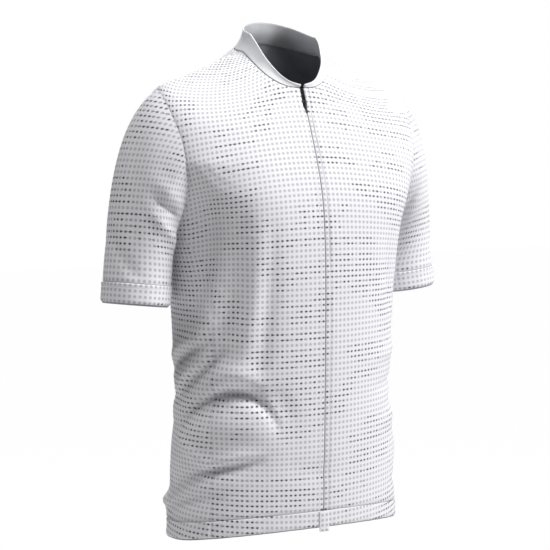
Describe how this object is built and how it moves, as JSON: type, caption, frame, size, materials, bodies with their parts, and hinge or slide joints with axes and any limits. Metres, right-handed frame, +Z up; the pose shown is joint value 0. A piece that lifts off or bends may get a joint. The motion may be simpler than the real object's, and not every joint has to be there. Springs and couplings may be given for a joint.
{
  "type": "cycling jersey",
  "caption": "Short-sleeved, close-fitting cycling jersey with a low stand collar, a full-length front zip, banded cuffs and hem, and rear pockets, filled out as worn.",
  "frame": {"origin": "on the centre plane between the two shoulder seams, level with where they meet the neck seam: the wearer's shoulders hold it here", "axes": "+Z up along the body, front towards -Y, the wearer's right towards -X"},
  "size_m": [0.5673, 0.243, 0.7937],
  "materials": {
    "printed_knit": "light matte polyester knit, off-white with a small grey dot print",
    "plain_knit": "smooth matte off-white knit, doubled",
    "zip_tape": "black woven zip tape",
    "zip_metal": "black satin enamel on zinc"
  },
  "bodies": {
    "jersey": {"front_right": "printed_knit", "front_left": "printed_knit", "back": "printed_knit", "pocket_panel": "printed_knit", "sleeve_right": "printed_knit", "sleeve_left": "printed_knit", "cuff_right": "printed_knit", "cuff_left": "printed_knit", "hem_front_right": "printed_knit", "hem_front_left": "printed_knit", "hem_back": "printed_knit", "hem_tab": "printed_knit", "collar": "plain_knit", "zip_tape_right": "zip_tape", "zip_tape_left": "zip_tape", "zip_slider": "zip_metal"},
    "pull": {"zip_pull": "zip_metal"}
  },
  "joints": [
    {"name": "pull_swing", "type": "hinge", "parent": "jersey", "child": "pull", "pos_m": [0, -0.05899, -0.07848], "axis": [-1, 0, 0], "range_deg": [0, 150]}
  ]
}
